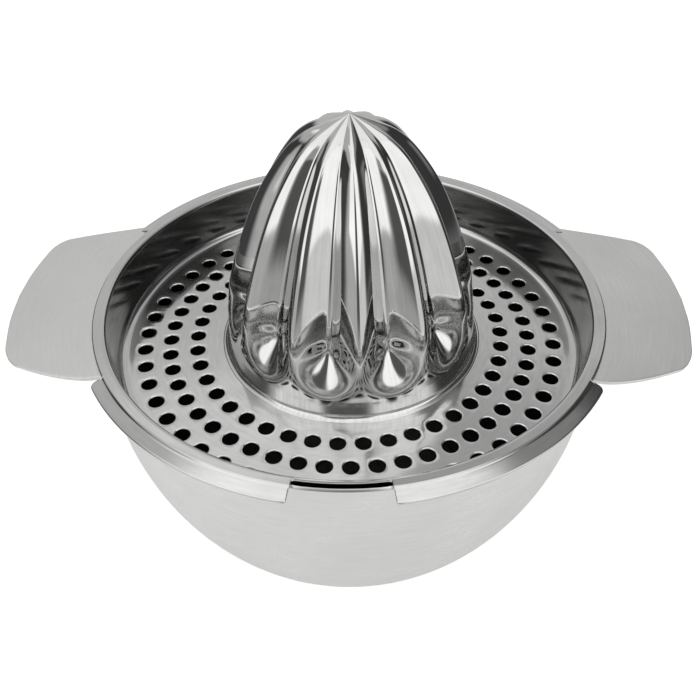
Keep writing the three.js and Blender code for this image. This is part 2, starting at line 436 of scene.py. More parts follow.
def cell_outline():
    """Places round a cell, counter-clockwise: each is a share along the arc and a share across
    the row, from -1 to 1."""
    along = np.linspace(-1, 1, arc_steps, endpoint=False)
    across = np.linspace(-1, 1, side_steps, endpoint=False)
    side, end = np.ones(side_steps), np.ones(arc_steps)
    angle_share = np.concatenate([-side, along, side, -along])
    radius_share = np.concatenate([across, end, -across, -end])
    return angle_share, radius_share


def hole_cells(row):
    """All cells of one row, as x, y and the drop under the plate's face. From outside in: the
    cell's outline, a ring halfway, and the rolled lip, whose section is a quarter circle that
    ends on the hole's wall."""
    inner, outer = row["band"]
    angle_share, radius_share = cell_outline()
    pitch = TURN / row["count"]
    middle = -TURN / 4 + row_turn + pitch * (np.arange(row["count"]) + row["phase"])
    angle = middle[:, None] + angle_share * pitch / 2
    radius = (inner + outer) / 2 + radius_share * (outer - inner) / 2
    outline = drawn_in(np.stack([radius * np.cos(angle), radius * np.sin(angle)], axis=-1))
    centre = row["radius"] * np.stack([np.cos(middle), np.sin(middle)], axis=-1)
    centre = drawn_in(centre)[:, None]
    away = outline - centre
    away = away / np.linalg.norm(away, axis=-1, keepdims=True)
    roll = np.linspace(0, math.pi / 2, roll_rows)
    lip_start = centre + away * (hole_radius + hole_roll)
    plan = [outline, (outline + lip_start) / 2]
    plan += [centre + away * (hole_radius + hole_roll * (1 - math.sin(a))) for a in roll]
    drop = np.concatenate([[0, 0], hole_roll * (1 - np.cos(roll))])
    plan = np.stack(plan, axis=1)
    drop = np.broadcast_to(drop[None, :, None, None], plan.shape[:3] + (1,))
    return np.concatenate([plan, drop], axis=-1)


def cell_faces(cells):
    """Faces of all cells of a row: the same small grid, moved on by a cell's points each time."""
    count, rows, columns = cells.shape[:3]
    one = grid_faces(rows, columns)
    return (one[None] + (np.arange(count) * rows * columns)[:, None, None]).reshape(-1, 4)


print("a row's cells, rings and points round a ring:", hole_cells(rows_of_holes[0]).shape[:3])

# %% [markdown]
# ## The pan's flange
# The flange rests on the bowl's rim. Seen from above it is a ring with three cut-outs: one over
# each ear, which keep the pan from turning, and one at the front for the pour slot. Cutting them
# out of a finished ring would leave ragged columns of faces. So the outline is worked out first,
# with its rounded corners, and the columns of the flange run to it.

# %% Flange outline
flat_radius = 67.9
slot_floor_radius = 65.8
slot_half_width = 10.6
slot_corner = 0.5
slot_floor_corner = 0.9
ear_cut_front = math.radians(30.5)
ear_cut_back = math.radians(25.4)
ear_cut_front_corner = 1.6
ear_cut_back_corner = 0.4
ear_cut_floor_corner = 0.3
notch_corner_steps = 6
outline_step = math.radians(1.0)


def notch_edge(floor, outer_corner, floor_corner):
    """One side of a cut-out, from the flange's outer edge to the cut's floor: a round outer
    corner, a radial line and a round inner corner. Gives the offset from the radial line,
    positive outside the cut, and the radius."""
    quarter = np.linspace(0, math.pi / 2, notch_corner_steps)
    outer_offset = outer_corner * (1 - np.sin(quarter))
    outer_height = flange_radius - outer_corner * (1 - np.cos(quarter))
    floor_offset = -floor_corner * (1 - np.cos(quarter))
    floor_height = floor + floor_corner * (1 - np.sin(quarter))
    offset = np.concatenate([outer_offset, floor_offset])
    return offset, np.concatenate([outer_height, floor_height])


def flange_cuts():
    """The cut-outs, each as its first and last angle, its floor's radius, its first and its last
    outer corner, and its floor's corner."""
    slot_half = math.asin(slot_half_width / slot_floor_radius)
    front, back = ear_cut_front_corner, ear_cut_back_corner
    return [
        (-TURN / 4 - slot_half, -TURN / 4 + slot_half, slot_floor_radius,
         slot_corner, slot_corner, slot_floor_corner),
        (-ear_cut_front, ear_cut_back, flat_radius, front, back, ear_cut_floor_corner),
        (TURN / 2 - ear_cut_back, TURN / 2 + ear_cut_front, flat_radius, back, front,
         ear_cut_floor_corner),
    ]


def flange_outline():
    """The flange's outline as angles and radii, and the angles at which its columns start on the
    lip. Arcs of the full radius and arcs of the cut-outs' floors take turns, joined by the
    cut-outs' sides."""
    cuts = flange_cuts()
    angles, radii, starts = [], [], []
    for number, (begin, end, floor, first_corner, last_corner, floor_corner) in enumerate(cuts):
        offset, radius = notch_edge(floor, first_corner, floor_corner)
        first = begin - offset / radius
        offset, last_radius = notch_edge(floor, last_corner, floor_corner)
        last = (end + offset / last_radius)[::-1]
        next_cut = cuts[(number + 1) % len(cuts)]
        next_offset, next_radius = notch_edge(next_cut[2], next_cut[3], next_cut[5])
        next_first = next_cut[0] - next_offset[0] / next_radius[0]
        next_first += TURN * (next_first < last[-1])
        floor_count = int((last[0] - first[-1]) / outline_step)
        rim_count = int((next_first - last[-1]) / outline_step)
        floor_arc = np.linspace(first[-1], last[0], floor_count)[1:-1]
        rim_arc = np.linspace(last[-1], next_first, rim_count)[1:-1]
        angles += [first, floor_arc, last, rim_arc]
        radii += [radius, np.full(len(floor_arc), floor)]
        radii += [last_radius[::-1], np.full(len(rim_arc), flange_radius)]
        starts += [np.linspace(first[0], first[-1], len(first)), floor_arc]
        starts += [np.linspace(last[0], last[-1], len(last)), rim_arc]
    return np.concatenate(angles), np.concatenate(radii), np.concatenate(starts)


print("the flange's outline has", len(flange_outline()[0]), "points")

# %% [markdown]
# ## The pan's wall and the flange's section
# The plate turns up through a fillet into a low wall, and the wall turns out over a lip into the
# flange. The flange is flat at first, steps down a third of a millimetre and then slopes outwards,
# so it shows as a grey ring with a white band round it. A plain flat ring would lose that band.

# %% Wall and flange in section
wall_radius = 64.5
wall_taper = 1.1
wall_rows = 6
wall_columns = 400
floor_fillet = 2.3
lip_radius = 1.2
lip_end_radius = wall_radius + lip_radius
bend_steps = 9
step_start_radius = 67.5
step_end_radius = 68.1
step_drop = 0.34
band_slope = 0.24


def pan_wall(drop):
    """Radii and heights from the plate's edge to the end of the lip: floor fillet, tapered wall
    and lip. The drop moves the line to the underside, as far as the sheet is thick."""
    foot = wall_radius - wall_taper
    fillet_radii, fillet_heights = arc(foot - floor_fillet, plate_top + floor_fillet,
                                       floor_fillet + drop, -math.pi / 2, 0, bend_steps)
    lip_radii, lip_heights = arc(lip_end_radius, flange_top - lip_radius, lip_radius - drop,
                                 math.pi, math.pi / 2, bend_steps)
    share = np.linspace(0, 1, wall_rows)[1:-1]
    wall_radii = fillet_radii[-1] + (lip_radii[0] - fillet_radii[-1]) * share
    wall_heights = fillet_heights[-1] + (lip_heights[0] - fillet_heights[-1]) * share
    radii = np.concatenate([fillet_radii, wall_radii, lip_radii])
    return radii, np.concatenate([fillet_heights, wall_heights, lip_heights])


def flange_height(radius):
    """The flange's top in section: flat, then an S-shaped step down, then a band that slopes
    gently outwards."""
    step = step_drop * smooth_step(radius, step_start_radius, step_end_radius)
    slope = band_slope * np.maximum(radius - (step_start_radius + step_end_radius) / 2, 0)
    return flange_top - step - slope


print("the flange's edge lies %.2f mm under its ring" % (flange_top - flange_height(flange_radius)))

# %% Flange surface
seam_width = 0.02
edge_round = 0.2
edge_rows = 4
flange_rows = 18


def flange_layers():
    """The flange from the lip to its outline, on top and underneath. Near the outline the rows
    follow it inwards, so that both cut edges are rounded by a quarter circle."""
    angle, radius, start = flange_outline()
    outline = np.stack([radius * np.cos(angle), radius * np.sin(angle)], axis=-1)
    inner = (lip_end_radius + seam_width) * np.stack([np.cos(start), np.sin(start)], axis=-1)
    along = np.roll(outline, -1, axis=0) - np.roll(outline, 1, axis=0)
    inward = np.stack([-along[:, 1], along[:, 0]], axis=-1)
    inward = inward / np.linalg.norm(inward, axis=-1, keepdims=True)
    quarter = np.linspace(0, math.pi / 2, edge_rows)
    share = np.linspace(0, 1, flange_rows)[:-1, None, None]
    edge_line = outline + inward * edge_round
    plan = np.concatenate([
        inner + (edge_line - inner) * share,
        outline + inward * (edge_round * (1 - np.sin(quarter)))[:, None, None],
    ])
    rounding = np.concatenate([np.zeros(len(share)), edge_round * (1 - np.cos(quarter))])[:, None]
    height = flange_height(np.hypot(plan[..., 0], plan[..., 1]))
    top = np.concatenate([plan, (height - rounding)[..., None]], axis=-1)
    under = np.concatenate([plan, (height - pan_sheet + rounding)[..., None]], axis=-1)
    return top, under, start


print("the flange's rows and columns:", flange_layers()[0].shape[:2])

# %% [markdown]
# ## The pan in one sheet
# Plate, wall and flange come out of one press, so they are one mesh without gaps. Every part has
# a top layer, an under layer and its faces. Parts with different numbers of columns meet in
# zipped seams. Then all are welded, and the sheet is closed at the holes, the opening under the
# cone and the outline.

# %% Parts of the pan
opening_radius = 31.6
plain_rings = [33.5, 35.5, 37.0]


def plate_rings(radii, angles):
    """Plain rings of the plate from the outer radius to the inner one, so that faces point up."""
    rings = round_trip(np.array(radii[::-1]), np.full(len(radii), plate_top), angles)
    return np.concatenate([drawn_in(rings[:, :2]), rings[:, 2:]], axis=1)


def plate_parts(few, many):
    """The rows' cells, the plain rings round the opening, and the seam between the inner row,
    which has few columns, and the next row."""
    thickness = np.array([0, 0, pan_sheet])
    parts = []
    for row in rows_of_holes:
        cells = hole_cells(row)
        above = cells * [1, 1, -1] + [0, 0, plate_top]
        below = cells * [1, 1, 0] + [0, 0, plate_top - pan_sheet]
        parts.append((above.reshape(-1, 3), below.reshape(-1, 3), cell_faces(cells)))
    first_band, second_band = rows_of_holes[0]["band"], rows_of_holes[1]["band"]
    centre_radii = [opening_radius] + plain_rings + [first_band[0]]
    centre = plate_rings(centre_radii, few)
    parts.append((centre, centre - thickness, grid_faces(len(centre_radii), len(few))))
    seam = np.concatenate([plate_rings([first_band[1]], few), plate_rings([second_band[0]], many)])
    inner_numbers, outer_numbers = np.arange(len(few)), np.arange(len(many)) + len(few)
    parts.append((seam, seam - thickness, zip_rings(inner_numbers, few, outer_numbers, many)))
    return parts


def wall_part(many):
    """The wall from the plate's edge to the end of the lip."""
    edge = round_trip(np.array([rows_of_holes[-1]["band"][1]]), np.array([plate_top]), many)
    above = np.concatenate([edge, round_trip(*pan_wall(0), many)])
    below = np.concatenate([edge - [0, 0, pan_sheet], round_trip(*pan_wall(pan_sheet), many)])
    return above, below, grid_faces(len(above) // len(many), len(many))[:, ::-1]


def flange_parts(many, lip_above, lip_below):
    """The seam from the lip to the flange's first row, and the flange."""
    above, below, start = flange_layers()
    lip_numbers, flange_numbers = np.arange(len(many)), np.arange(len(start)) + len(many)
    seam = (np.concatenate([lip_above, above[0]]), np.concatenate([lip_below, below[0]]),
            zip_rings(lip_numbers, many, flange_numbers, start))
    faces = grid_faces(*above.shape[:2])[:, ::-1]
    return [seam, (above.reshape(-1, 3), below.reshape(-1, 3), faces)]


print("the plate opens to a radius of %.1f mm under the cone" % opening_radius)

# %% Make the pan


def make_pan():
    """The whole pan: all parts welded on both layers at once and closed to one sheet."""
    start_angle = -TURN / 4 + row_turn
    few_columns = rows_of_holes[0]["count"] * arc_steps
    few = start_angle + TURN * np.arange(few_columns) / few_columns
    many = start_angle + TURN * np.arange(wall_columns) / wall_columns
    wall = wall_part(many)
    parts = plate_parts(few, many) + [wall]
    parts += flange_parts(many, wall[0][-len(many):], wall[1][-len(many):])
    offsets = np.cumsum([0] + [len(part[0]) for part in parts])
    both = np.concatenate([np.concatenate([part[0], part[1]], axis=1) for part in parts])
    both, faces = weld(both, [part[2] + offset for part, offset in zip(parts, offsets)])
    points, face_sets = close_sheet(both[:, :3], both[:, 3:], faces)
    return make_piece("strainer", points, face_sets)


pan = make_pan()

# %% [markdown]
# ## The reamer cone
# The cone is the third pressing. Its outline is a pointed arch. Twelve narrow ridges run down it,
# with a broad hollow between each two, and each hollow ends above the foot in a round toe, like
# the bowl of a spoon. Sculpting would give twelve different hollows. One formula gives the radius
# at every height and angle instead: the arch less the hollow. On mirror-polished steel the
# section of the hollow decides where each band of light falls, so it has the most numbers.

# %% Hollows of the cone
foot_height = 4.6
flute_count = 12
ridge_turn = math.radians(4.9)
flute_depth_share = 0.174
section_power = 1.15
ridge_round_share = 0.195
valley_round_share = 0.02
toe_valley_round = 0.45
toe_valley_height = 20.0
toe_length = 12.0
toe_round = 6.0


def hollow_depth(radius, height, angle):
    """How deep the hollow is, in millimetres. The distance from the ridge runs from 0 on a ridge
    to 1 in the valley and back. The hollow is 1 less the distance from the valley raised to the
    section power: a V with slightly hollow sides. Square roots of sums of squares round the ridge
    and the valley. Towards the foot the valley gets rounder, which also lowers the ridge a
    little, and the toe, a smooth step in height, fades the hollow out."""
    turn = ((angle - ridge_turn) / TURN * flute_count) % 1
    from_ridge = 1 - np.abs(2 * turn - 1)
    full = math.hypot(1, ridge_round_share) - ridge_round_share
    rounded = (np.sqrt(from_ridge ** 2 + ridge_round_share ** 2) - ridge_round_share) / full
    near_foot = 1 - smooth_step(height, foot_height, toe_valley_height)
    valley_round = valley_round_share + toe_valley_round * near_foot
    from_valley = np.sqrt((1 - rounded) ** 2 + valley_round ** 2) - valley_round
    hollow = 1 - from_valley ** section_power
    toe_start = foot_height + toe_round * (1 - np.sqrt(np.clip(hollow, 0, 1)))
    toe = smooth_step(height, toe_start, toe_start + toe_length)
    return radius * flute_depth_share * hollow * toe


valley_angle = ridge_turn + TURN / flute_count / 2
print("a valley is %.1f mm deep at a radius of 30 mm" % hollow_depth(30.0, 40.0, valley_angle))

# %% Outline of the cone
cone_radius = 33.9
foot_radius = 36.0
foot_fillet = 1.6
foot_steps = 9
cone_rows = 126
tip_rise = 0.4
side_shares = [(0, 1), (0.169, 0.99), (0.427, 0.857), (0.675, 0.675),
               (0.843, 0.482), (0.924, 0.33), (0.967, 0.168), (1, 0)]


def cone_profile():
    """Radii and heights over the plate from the foot to the ring below the tip: a fillet, then a
    smooth line through pairs of a share of the height and a share of the radius."""
    rise = cone_top + tip_rise - plate_top - foot_height
    knots = [(cone_radius * wide, foot_height + rise * high) for high, wide in side_shares]
    line = smooth_line(knots, cone_rows)[:-1]
    foot_radii, foot_heights = arc(foot_radius, foot_fillet, foot_fillet, -math.pi / 2, -math.pi,
                                   foot_steps)
    return np.concatenate([foot_radii, line[:, 0]]), np.concatenate([foot_heights, line[:, 1]])


print("the cone has", len(cone_profile()[0]), "rows")

# %% [markdown]
# ## The cone's columns
# A ridge is narrow and a hollow is broad, so evenly spread columns would leave the ridges
# angular. The columns crowd towards the ridges instead. The real cone also stands a hair to the
# right of the pan's middle and leans that way, and so does this one.

# %% Make the cone
cone_sheet = 0.8
cone_columns_per_flute = 30
column_crowding = 0.7
cone_shift = 0.6
cone_lean = 0.2
lean_height = 34.0


def make_cone():
    """The cone's outside from the foot to the tip: the profile's radius less the hollow at each
    angle, with a fan at the tip. The shift to the right grows with the height up to a limit."""
    radii, heights = cone_profile()
    place = np.arange(flute_count * cone_columns_per_flute) / cone_columns_per_flute
    crowded = place - column_crowding * np.sin(TURN * place) / TURN
    from_front = (ridge_turn + TURN / flute_count * crowded)[None, :]
    radius = radii[:, None] - hollow_depth(radii[:, None], heights[:, None], from_front)
    turned = from_front - TURN / 4
    high = np.broadcast_to(heights[:, None], radius.shape) + plate_top
    grid = np.stack([radius * np.cos(turned), radius * np.sin(turned), high], axis=-1)
    tip = [[0.0, 0.0, cone_top + tip_rise]]
    points = np.concatenate([grid.reshape(-1, 3), tip])
    lean = cone_lean * np.clip((points[:, 2] - plate_top) / lean_height, 0, 1)
    points[:, 0] += cone_shift + lean
    columns = radius.shape[1]
    last_ring = np.arange(columns) + (len(radii) - 1) * columns
    faces = [grid_faces(len(radii), columns), fan_faces(last_ring, len(points) - 1)]
    return make_piece("fluted_cone", points, faces)


cone = make_cone()
cone_wall = cone.modifiers.new("sheet", "SOLIDIFY")
cone_wall.thickness = cone_sheet * MM
cone_wall.offset = -1

# %% [markdown]
# ## Riding on the frame
# Each surface rides on the body that moves it, and takes the place of the plain solid that stands
# there. The strainer is one body in the frame: pan and cone lift off the bowl together.

# %% Ride on the frame
for piece, node, body, slot in (
    (bowl, "bowl", "bowl", "satin_steel"),
    (pan, "strainer_pan", "strainer", "polished_steel"),
    (cone, "reamer_cone", "strainer", "mirror_steel"),
):
    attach(piece, body)
    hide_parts(node)
    print(piece.name, "rides on", body)

# %% [markdown]
# ## Materials from nodes
# A material is a small net of nodes. Two tools keep it short: one turns a hex colour, as on a
# screen, into the linear numbers that light is worked out with, and one adds a node with its
# settings and its links in one line.

# %% Material tools


def linear(hex_colour):
    """A hex sRGB colour as linear RGBA: below 0.04045 divide by 12.92, above it
    ((c + 0.055) / 1.055) to the 2.4."""
    channels = np.array([int(hex_colour[i:i + 2], 16) for i in (1, 3, 5)]) / 255
    low = channels / 12.92
    high = ((channels + 0.055) / 1.055) ** 2.4
    return tuple(np.where(channels <= 0.04045, low, high)) + (1.0,)


def new_material(name):
    """An empty node material."""
    material = bpy.data.materials.new(name)
    material.use_nodes = True
    material.node_tree.nodes.clear()
    return material


def add(tree, kind, settings=None, **links):
    """A node of a kind with its settings. Each input is set to a value or linked from another
    node's output. A name such as i2 means input number 2."""
    node = tree.nodes.new(kind)
    for key, value in (settings or {}).items():
        setattr(node, key, value)
    for key, value in links.items():
        numbered = key[0] == "i" and key[1:].isdigit()
        socket = node.inputs[int(key[1:])] if numbered else node.inputs[key.replace("_", " ")]
        if isinstance(value, bpy.types.NodeSocket):
            tree.links.new(value, socket)
        else:
            socket.default_value = value
    return node


print("mid grey #808080 in linear light is %.3f" % linear("#808080")[0])

# %% [markdown]
# ## Traces of polishing
# Stainless steel is grey and mirrors what stands round it, so its look is its polish. A wheel or
# a belt leaves fine streaks that run round the piece, because each pressing turns on a lathe
# while it is polished. A picture of scratches wrapped round it would smear at the pole. The
# streaks are a noise drawn out along the circle instead, so they have no seam.

# %% Streaks
streak_detail = {"Detail": 3.0, "Roughness": 0.6}


def drawn_out_noise(tree, place, streaks_round, lines_per_mm):
    """Noise drawn out round the Z axis. It is read at the unit vector away from the axis, which
    changes slowly along a streak, and at the sum of height and radius, which changes fast."""
    flat = add(tree, "ShaderNodeVectorMath", {"operation": "MULTIPLY"}, i0=place, i1=(1, 1, 0))
    length = add(tree, "ShaderNodeVectorMath", {"operation": "LENGTH"}, i0=flat.outputs[0])
    unit = add(tree, "ShaderNodeVectorMath", {"operation": "NORMALIZE"}, i0=flat.outputs[0])
    turned = add(tree, "ShaderNodeVectorMath", {"operation": "MULTIPLY"}, i0=unit.outputs[0],
                 i1=(streaks_round, streaks_round, 0))
    height = add(tree, "ShaderNodeSeparateXYZ", Vector=place).outputs["Z"]
    both = add(tree, "ShaderNodeMath", {"operation": "ADD"}, i0=height, i1=length.outputs["Value"])
    fine = add(tree, "ShaderNodeMath", {"operation": "MULTIPLY"}, i0=both.outputs[0],
               i1=lines_per_mm / MM)
    across = add(tree, "ShaderNodeCombineXYZ", Z=fine.outputs[0])
    vector = add(tree, "ShaderNodeVectorMath", {"operation": "ADD"}, i0=turned.outputs[0],
                 i1=across.outputs[0])
    noise = add(tree, "ShaderNodeTexNoise", Vector=vector.outputs[0], Scale=1.0, **streak_detail)
    return noise.outputs[0]


print("streaks are a noise with", streak_detail)

# %% [markdown]
# ## Steel
# All five finishes are one steel with other numbers. Streaks from the wheel and soft smudges from
# hands and water both move the roughness, and the smudges dull the colour. The sheet is never
# quite flat after pressing, so slow waves tilt it by some hundredths of a millimetre, and these
# bend the reflections. Bump does this without a single extra face.

# %% Steel
smudge_detail = {"Detail": 4.0, "Roughness": 0.55}
trace_range = (0.35, 0.65)
dull_range = (0.35, 0.7)


def steel_roughness(tree, look, traces, height):
    """The traces' range mapped to the polish's range. Where a wheel can't reach, below a height,
    the roughness grows."""
    low, high = look["roughness"]
    polish = add(tree, "ShaderNodeMapRange", Value=traces, From_Min=trace_range[0],
                 From_Max=trace_range[1], To_Min=low, To_Max=high).outputs[0]
    if "softer_by" not in look:
        return polish
    softer = add(tree, "ShaderNodeMapRange", Value=height, From_Min=look["softer_from_mm"] * MM,
                 From_Max=look["softer_to_mm"] * MM, To_Min=0.0, To_Max=look["softer_by"])
    both = add(tree, "ShaderNodeMath", {"operation": "ADD"}, i0=polish, i1=softer.outputs[0])
    return both.outputs[0]


def steel_colour(tree, look, traces, along):
    """A mix of the bright and the dull colour by the traces. Some steel is painted brighter at
    the front, as a painted reflection of the light there."""
    dull = add(tree, "ShaderNodeMapRange", Value=traces, From_Min=dull_range[0],
               From_Max=dull_range[1], To_Min=0.0, To_Max=1.0)
    colour = add(tree, "ShaderNodeMix", {"data_type": "RGBA"}, i0=dull.outputs[0],
                 i6=linear(look["bright"]), i7=linear(look["dull"])).outputs[2]
    if "front" not in look:
        return colour
    share = add(tree, "ShaderNodeMapRange", Value=along, From_Min=look["painted_light_from_mm"] * MM,
                From_Max=look["painted_light_to_mm"] * MM, To_Min=0.0, To_Max=1.0).outputs[0]
    return add(tree, "ShaderNodeMix", {"data_type": "RGBA"}, i0=share, i6=colour,
               i7=linear(look["front"])).outputs[2]


def steel(name, look):
    """A steel from its look: traces, which are half streaks and half smudges, then roughness and
    colour from the traces, and two bumps on top of each other, for the streaks and the waves."""
    material = new_material(name)
    tree = material.node_tree
    place = add(tree, "ShaderNodeTexCoord").outputs["Object"]
    apart = add(tree, "ShaderNodeSeparateXYZ", Vector=place)
    streaks = drawn_out_noise(tree, place, look["streaks_round"], look["lines_per_mm"])
    smudge = add(tree, "ShaderNodeTexNoise", Vector=place, Scale=look["smudges_per_mm"] / MM,
                 **smudge_detail)
    traces = add(tree, "ShaderNodeMix", {"data_type": "FLOAT"}, i0=0.5, i2=streaks,
                 i3=smudge.outputs[0]).outputs[0]
    brushed = add(tree, "ShaderNodeBump", Height=streaks, Strength=1.0,
                  Distance=look["streak_depth_mm"] * MM)
    wave = add(tree, "ShaderNodeTexNoise", Vector=place, Scale=look["waves_per_mm"] / MM,
               Detail=1.0)
    wavy = add(tree, "ShaderNodeBump", Height=wave.outputs[0], Strength=1.0,
               Distance=look["wave_depth_mm"] * MM, Normal=brushed.outputs[0])
    shader = add(tree, "ShaderNodeBsdfPrincipled", Metallic=1.0, Normal=wavy.outputs[0],
                 Base_Color=steel_colour(tree, look, traces, apart.outputs["Y"]),
                 Roughness=steel_roughness(tree, look, traces, apart.outputs["Z"]))
    add(tree, "ShaderNodeOutputMaterial", Surface=shader.outputs[0])
    return material


print("traces from %.2f to %.2f move the roughness" % trace_range)

# %% [markdown]
# ## Five finishes
# Satin is the belt's finish on the bowl and its ears: soft, light and without an image. Polished
# is the wheel's finish on the plate and the flange: blurred images. The pan's wall is glossy steel
# painted dark, a painted shade for the dark room that it mirrors, and painted lighter towards the
# front, a painted reflection. The cone is mirror polished with a paste, but its toes are too narrow
# for the wheel and stay a little softer. The bowl's inside and the pan's underside are matt steel
# painted dark grey, a painted shade that makes the holes look black. The real streaks are some
# hundredths of a millimetre apart, too fine for any picture, so they are drawn as coarse as they
# need to show: half a millimetre on the satin steel.

# %% Finishes
looks = {
    # belt polished: even and light, with streaks half a millimetre apart
    "satin stainless steel": {
        "bright": "#efefed", "dull": "#e3e3e1", "roughness": (0.25, 0.34),
        "streaks_round": 7.0, "lines_per_mm": 2.0, "streak_depth_mm": 0.002,
        "smudges_per_mm": 0.05, "waves_per_mm": 0.06, "wave_depth_mm": 0.03,
    },
    # wheel polished: blurred images, with streaks under a millimetre apart
    "polished stainless steel": {
        "bright": "#e0e0df", "dull": "#cfcfce", "roughness": (0.08, 0.18),
        "streaks_round": 8.0, "lines_per_mm": 1.2, "streak_depth_mm": 0.002,
        "smudges_per_mm": 0.07, "waves_per_mm": 0.08, "wave_depth_mm": 0.03,
    },
    # painted shade: glossy steel painted dark, and painted lighter at the front, with traces 2 mm
    # apart
    "pan wall steel with painted shade": {
        "bright": "#989897", "dull": "#6e6e6d", "roughness": (0.11, 0.18),
        "streaks_round": 6.0, "lines_per_mm": 0.5, "streak_depth_mm": 0.001,
        "smudges_per_mm": 0.06, "waves_per_mm": 0.05, "wave_depth_mm": 0.06,
        # painted reflection: the wall's colour turns lighter towards the front
        "front": "#dcdcdb", "painted_light_from_mm": -25.0, "painted_light_to_mm": -45.0,
    },
    # paste polished: sharp images, bent by slow waves, with traces 8 mm apart and softer toes
    "mirror polished stainless steel": {
        "bright": "#e6e6e5", "dull": "#cfcfce", "roughness": (0.02, 0.05),
        "streaks_round": 40.0, "lines_per_mm": 0.12, "streak_depth_mm": 0.002,
        "smudges_per_mm": 0.09, "waves_per_mm": 0.07, "wave_depth_mm": 0.08,
        "softer_from_mm": plate_top + 20.0, "softer_to_mm": plate_top + 8.0, "softer_by": 0.1,
    },
    # painted shade: matt steel painted dark grey, with traces over a millimetre apart
    "dark steel with painted shade": {
        "bright": "#6a6a69", "dull": "#4c4c4b", "roughness": (0.42, 0.6),
        "streaks_round": 3.0, "lines_per_mm": 0.8, "streak_depth_mm": 0.01,
        "smudges_per_mm": 0.04, "waves_per_mm": 0.05, "wave_depth_mm": 0.03,
    },
}
steels = {name: steel(name, look) for name, look in looks.items()}
print("made", ", ".join(steels))

# %% [markdown]
# ## Which face has which finish
# A mesh can hold several materials, and each face names one by its number. The faces are picked
# by where they are and which way they point. The faces that Solidify adds inside the bowl take
# the number of their outer face plus the material offset, so the wall's inside gets the dark
# steel of painted shade, while rim and ears start one number higher and stay satin on both sides.

# %% Faces and their finishes


def face_places(piece):
    """The middles of a piece's faces in millimetres, and the faces' normals."""
    count = len(piece.data.polygons)
    middles, normals = np.empty(count * 3), np.empty(count * 3)
    piece.data.polygons.foreach_get("center", middles)
    piece.data.polygons.foreach_get("normal", normals)
    return middles.reshape(-1, 3) / MM, normals.reshape(-1, 3)


def finish_faces(piece, names, numbers):
    """Give a piece its steels, and each of its faces the number of its own."""
    for name in names:
        piece.data.materials.append(steels[name])
    piece.data.polygons.foreach_set("material_index", numbers.astype(np.int32))
    print(piece.name, "has", len(set(names)), "finishes")


wall_margin = 0.05
satin, painted_shade_steel = "satin stainless steel", "dark steel with painted shade"
middles, normals = face_places(bowl)
radius = np.hypot(middles[:, 0], middles[:, 1])
rim_and_ears = (middles[:, 2] > bend_height) | (radius > bowl_radius + wall_margin)
# the bowl's inside gets the dark grey steel of painted shade, rim and ears stay satin
finish_faces(bowl, [satin, painted_shade_steel, satin, satin], np.where(rim_and_ears, 2, 0))
sheet.material_offset = 1

# %% Finishes of pan and cone
tilt_limit = 0.3
fillet_skip = 1.2
underside_margin = 1.0
lip_share = 0.35
middles, normals = face_places(pan)
radius = np.hypot(middles[:, 0], middles[:, 1])
# the pan's underside gets the dark grey steel of painted shade
underside = (normals[:, 2] < -tilt_limit) & (radius < wall_radius + underside_margin)
above_plate = middles[:, 2] > plate_top + fillet_skip
pan_side = (normals[:, 2] > -tilt_limit) & above_plate & (radius < wall_radius + lip_share)
# the pan's wall gets the steel painted dark as painted shade, and lighter at the front
finish_faces(pan, ["polished stainless steel", painted_shade_steel, "pan wall steel with painted shade"],
             np.where(underside, 1, np.where(pan_side, 2, 0)))
finish_faces(cone, ["mirror polished stainless steel"], np.zeros(len(cone.data.polygons)))

# %% [markdown]
# ## The floor
# The juicer stands on a white table in front of white. A floor lit until it is white would also
# light the steel from below, so most of its white is a glow that only the lens sees, and the rest
# is plain matt paint, which keeps the bowl's soft shadow. The steel has to show a floor as well:
# its rays meet the near floor like a small table top, and beyond it they pass on into the room.

# %% Floor
floor_half_size = 3.0
floor_drop = 0.2
floor_glow = 0.66
table_glow = 0.26
table_edge = (0.2, 0.3)


def floor_paint():
    """Matt paint plus a glow. The glow is the floor's for camera rays and the table's for glossy
    rays. Glossy rays that land beyond the table's edge pass through."""
    material = new_material("white floor")
    tree = material.node_tree
    path = add(tree, "ShaderNodeLightPath")
    glossy = path.outputs["Is Glossy Ray"]
    place = add(tree, "ShaderNodeTexCoord").outputs["Object"]
    away = add(tree, "ShaderNodeVectorMath", {"operation": "LENGTH"}, i0=place).outputs["Value"]
    beyond = add(tree, "ShaderNodeMapRange", {"interpolation_type": "SMOOTHSTEP"}, Value=away,
                 From_Min=table_edge[0], From_Max=table_edge[1])
    passed = add(tree, "ShaderNodeMath", {"operation": "MULTIPLY"}, i0=glossy,
                 i1=beyond.outputs[0])
    mirrored = add(tree, "ShaderNodeMath", {"operation": "MULTIPLY"}, i0=glossy, i1=table_glow)
    glow = add(tree, "ShaderNodeMath", {"operation": "MULTIPLY_ADD"},
               i0=path.outputs["Is Camera Ray"], i1=floor_glow, i2=mirrored.outputs[0])
    matt = add(tree, "ShaderNodeBsdfDiffuse", Color=linear("#dddddd"))
    light = add(tree, "ShaderNodeEmission", Color=(1, 1, 1, 1), Strength=glow.outputs[0])
    both = add(tree, "ShaderNodeAddShader", i0=matt.outputs[0], i1=light.outputs[0])
    clear = add(tree, "ShaderNodeBsdfTransparent")
    whole = add(tree, "ShaderNodeMixShader", Fac=passed.outputs[0], i1=both.outputs[0],
                i2=clear.outputs[0])
    add(tree, "ShaderNodeOutputMaterial", Surface=whole.outputs[0])
    return material


